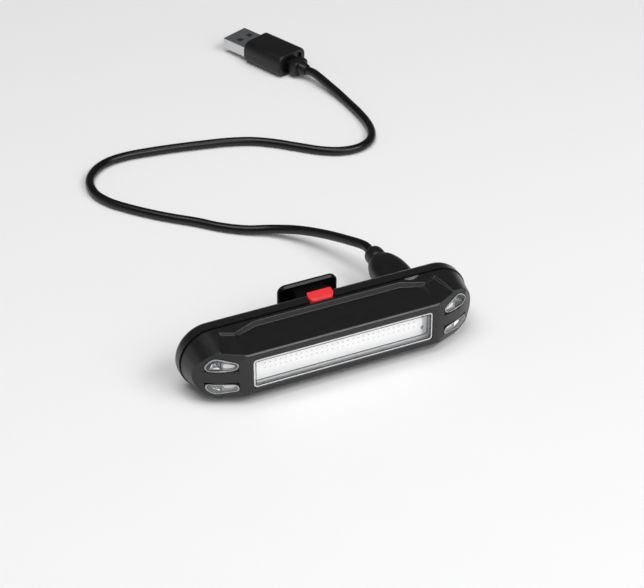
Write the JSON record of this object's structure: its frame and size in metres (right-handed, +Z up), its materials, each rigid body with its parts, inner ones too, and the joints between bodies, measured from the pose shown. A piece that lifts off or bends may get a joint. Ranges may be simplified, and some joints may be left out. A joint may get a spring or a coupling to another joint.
{
  "type": "bicycle rear light",
  "caption": "Slim rechargeable bicycle light: tapered round-ended case, long lit window, clear side lenses, red push button, strap hook behind and its charging lead plugged in.",
  "frame": {"origin": "middle of the base of the light's own box, without the charging lead", "axes": "+X along the light, to the right seen from the front; the window faces -Y; +Z is up"},
  "size_m": [0.128, 0.2196, 0.0233],
  "materials": {
    "case_plastic": "satin black with a fine moulded grain",
    "seal_rubber": "matte",
    "screw_steel": "plain",
    "window_clear": "clear, polished",
    "side_lens_clear": "clear, faintly smoked, ribbed inside",
    "reflector_white": "white, glossy",
    "led_board_white": "white solder mask",
    "led_chip": "pale phosphor",
    "red_wire": "insulated wire",
    "black_wire": "insulated wire",
    "foam_pad": "foam",
    "battery_foil": "pouch foil",
    "board_green": "green solder mask",
    "port_steel": "plated steel",
    "switch_plastic": "moulded",
    "plunger_plastic": "moulded",
    "button_red": "smooth red",
    "flap_rubber": "matte",
    "hook_gloss": "high gloss black",
    "plug_black": "soft satin overmould",
    "cord_black": "smooth, slightly shiny",
    "tongue_plastic": "moulded",
    "contact_gold": "plated"
  },
  "bodies": {
    "light": {"front_case": "case_plastic", "rear_cover": "case_plastic", "case_seal": "seal_rubber", "case_screws": "screw_steel", "pcb_screws": "screw_steel", "hook_screws": "screw_steel", "window_lens": "window_clear", "side_lens_left_upper": "side_lens_clear", "side_lens_left_lower": "side_lens_clear", "side_lens_right_upper": "side_lens_clear", "side_lens_right_lower": "side_lens_clear", "reflector": "reflector_white", "led_board": "led_board_white", "led_chips": "led_chip", "led_leads": "red_wire", "battery_leads": "black_wire", "battery_pad": "foam_pad", "battery": "battery_foil", "main_pcb": "board_green", "micro_usb_port": "port_steel", "switch_body": "switch_plastic", "strap_hook": "hook_gloss"},
    "button": {"power_button": "button_red"},
    "plunger": {"switch_plunger": "plunger_plastic"},
    "flap": {"port_flap": "flap_rubber"},
    "lead": {"small_plug_shell": "port_steel", "small_plug_grip": "plug_black", "small_plug_collar": "plug_black", "charge_cord": "cord_black", "large_plug_relief": "plug_black", "large_plug_grip": "plug_black", "large_plug_shell": "port_steel", "large_plug_tongue": "tongue_plastic", "large_plug_contacts": "contact_gold"}
  },
  "joints": [
    {"name": "button_press", "type": "slide", "parent": "light", "child": "button", "axis": [0, 0, -1], "range_m": [0, 0.0005], "stiffness_N_per_m": 400},
    {"name": "plunger_press", "type": "slide", "parent": "light", "child": "plunger", "axis": [0, 0, -1], "range_m": [0, 0.0005]},
    {"name": "flap_swing", "type": "hinge", "parent": "light", "child": "flap", "pos_m": [0.0252, 0.00585, 0.011], "axis": [0, 0, -1], "range_deg": [0, 70]},
    {"name": "lead_pull", "type": "slide", "parent": "light", "child": "lead", "axis": [0, 1, 0], "range_m": [0, 0.008]}
  ],
  "couplings": [
    {"joint": "plunger_press", "follows": "button_press", "ratio": 1}
  ]
}
